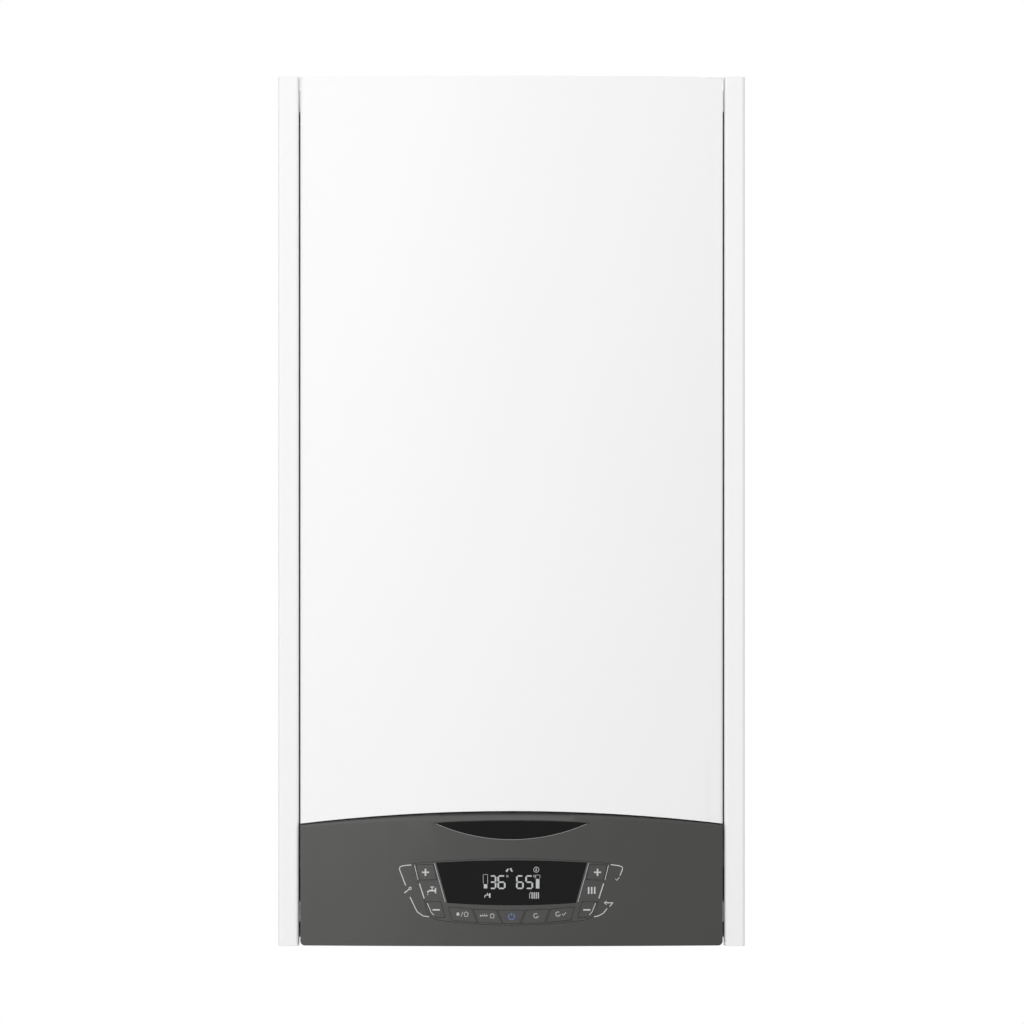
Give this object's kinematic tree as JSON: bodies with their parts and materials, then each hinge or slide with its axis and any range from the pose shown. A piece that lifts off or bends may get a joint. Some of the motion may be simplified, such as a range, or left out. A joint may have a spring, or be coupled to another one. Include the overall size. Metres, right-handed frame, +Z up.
{
  "type": "wall-hung combi boiler",
  "caption": "Wall-hung gas combi boiler with a bowed white front, dark control fascia with display and keys, top flue collar and pipe tails below.",
  "frame": {"origin": "on the wall, midway between the two bolt holes of the wall bracket", "axes": "+Z up, -Y out of the wall towards the room, +X to the right of someone facing the boiler"},
  "size_m": [0.4, 0.3195, 0.745],
  "materials": {
    "casing_white": "white semi-gloss powder coat",
    "galvanised_steel": "dull zinc coat",
    "cast_aluminium": "as cast, matt",
    "rubber_seal": "matt moulded rubber",
    "key_grey": "satin moulded plastic",
    "stainless": "bright rolled",
    "glass": "clear",
    "ceramic_fibre": "chalky",
    "copper": "drawn copper",
    "brass": "machined brass",
    "motor_black": "satin black",
    "moulded_black": "fine grained moulding",
    "vessel_red": "gloss paint",
    "knob_red": "satin",
    "knob_blue": "satin",
    "cast_iron": "painted casting",
    "fascia_grey": "satin dark grey moulding",
    "badge_black": "gloss",
    "lens_dark": "smoked window",
    "lcd": "negative display",
    "pcb_green": "solder mask"
  },
  "bodies": {
    "chassis": {"wall_bracket": "galvanised_steel", "rear_frame": "galvanised_steel", "lower_frame": "galvanised_steel", "side_panel_left": "casing_white", "side_panel_right": "casing_white", "top_panel": "galvanised_steel", "flue_spigot": "cast_aluminium", "seals": "rubber_seal", "air_inlet_covers": "key_grey", "front_rail": "galvanised_steel", "casing_screws": "stainless", "chamber_housing": "galvanised_steel", "chamber_cover": "galvanised_steel", "chamber_clips": "stainless", "sight_glass": "glass", "combustion_box": "stainless", "insulation_boards": "ceramic_fibre", "burner": "stainless", "gas_manifold": "cast_aluminium", "electrodes": "ceramic_fibre", "heat_exchanger": "copper", "flue_hood": "stainless", "fan_housing": "galvanised_steel", "fan_motor": "motor_black", "air_pressure_switch": "moulded_black", "expansion_vessel": "vessel_red", "copper_pipes": "copper", "connection_tails": "brass", "flow_group": "brass", "return_group": "brass", "diverter_motor": "moulded_black", "relief_valve": "brass", "pump_body": "cast_iron", "pump_motor": "motor_black", "plate_heat_exchanger": "stainless", "gas_valve": "cast_aluminium"},
    "front_panel": {"front_panel": "casing_white"},
    "control_box": {"control_box": "moulded_black", "fascia": "fascia_grey", "badge": "badge_black", "keypad_bezel": "key_grey", "display_lens": "lens_dark", "lcd_module": "lcd", "ui_board": "pcb_green", "main_board": "pcb_green", "cable_glands": "rubber_seal"},
    "fan_impeller": {"fan_impeller": "cast_aluminium"},
    "pump_impeller": {"pump_impeller": "moulded_black"},
    "diverter_spool": {"diverter_spool": "stainless"},
    "relief_knob": {"relief_knob": "knob_red"},
    "filling_knob": {"filling_knob": "knob_blue"},
    "button_hot_water_plus": {"button_hot_water_plus": "key_grey"},
    "button_hot_water_minus": {"button_hot_water_minus": "key_grey"},
    "button_heating_plus": {"button_heating_plus": "key_grey"},
    "button_heating_minus": {"button_heating_minus": "key_grey"},
    "button_mode": {"button_mode": "key_grey"},
    "button_comfort": {"button_comfort": "key_grey"},
    "button_power": {"button_power": "key_grey"},
    "button_auto": {"button_auto": "key_grey"},
    "button_reset": {"button_reset": "key_grey"}
  },
  "joints": [
    {"name": "front_panel_lift", "type": "slide", "parent": "chassis", "child": "front_panel", "axis": [0, 0, 1], "range_m": [0, 0.58]},
    {"name": "control_box_tilt", "type": "hinge", "parent": "chassis", "child": "control_box", "pos_m": [0, -0.24, -0.688], "axis": [1, 0, 0], "range_deg": [0, 90]},
    {"name": "fan_spin", "type": "hinge", "parent": "chassis", "child": "fan_impeller", "pos_m": [-0.031, -0.19, -0.048], "axis": [0, 1, 0], "continuous": true},
    {"name": "pump_spin", "type": "hinge", "parent": "chassis", "child": "pump_impeller", "pos_m": [0.11, -0.12, -0.542], "axis": [0, 1, 0], "continuous": true},
    {"name": "diverter_slide", "type": "slide", "parent": "chassis", "child": "diverter_spool", "axis": [0, 0, 1], "range_m": [0, 0.008]},
    {"name": "relief_knob_turn", "type": "hinge", "parent": "chassis", "child": "relief_knob", "pos_m": [0.13, -0.165, -0.64], "axis": [0, 1, 0], "range_deg": [0, 90]},
    {"name": "filling_knob_turn", "type": "hinge", "parent": "chassis", "child": "filling_knob", "pos_m": [0.0975, -0.062, -0.68], "axis": [0, 0, 1], "range_deg": [0, 180]},
    {"name": "hot_water_plus_press", "type": "slide", "parent": "control_box", "child": "button_hot_water_plus", "axis": [0, 1, 0], "range_m": [0, 0.0008], "stiffness_N_per_m": 400},
    {"name": "hot_water_minus_press", "type": "slide", "parent": "control_box", "child": "button_hot_water_minus", "axis": [0, 1, 0], "range_m": [0, 0.0008], "stiffness_N_per_m": 400},
    {"name": "heating_plus_press", "type": "slide", "parent": "control_box", "child": "button_heating_plus", "axis": [0, 1, 0], "range_m": [0, 0.0008], "stiffness_N_per_m": 400},
    {"name": "heating_minus_press", "type": "slide", "parent": "control_box", "child": "button_heating_minus", "axis": [0, 1, 0], "range_m": [0, 0.0008], "stiffness_N_per_m": 400},
    {"name": "mode_press", "type": "slide", "parent": "control_box", "child": "button_mode", "axis": [0, 1, 0], "range_m": [0, 0.0008], "stiffness_N_per_m": 400},
    {"name": "comfort_press", "type": "slide", "parent": "control_box", "child": "button_comfort", "axis": [0, 1, 0], "range_m": [0, 0.0008], "stiffness_N_per_m": 400},
    {"name": "power_press", "type": "slide", "parent": "control_box", "child": "button_power", "axis": [0, 1, 0], "range_m": [0, 0.0008], "stiffness_N_per_m": 400},
    {"name": "auto_press", "type": "slide", "parent": "control_box", "child": "button_auto", "axis": [0, 1, 0], "range_m": [0, 0.0008], "stiffness_N_per_m": 400},
    {"name": "reset_press", "type": "slide", "parent": "control_box", "child": "button_reset", "axis": [0, 1, 0], "range_m": [0, 0.0008], "stiffness_N_per_m": 400}
  ]
}
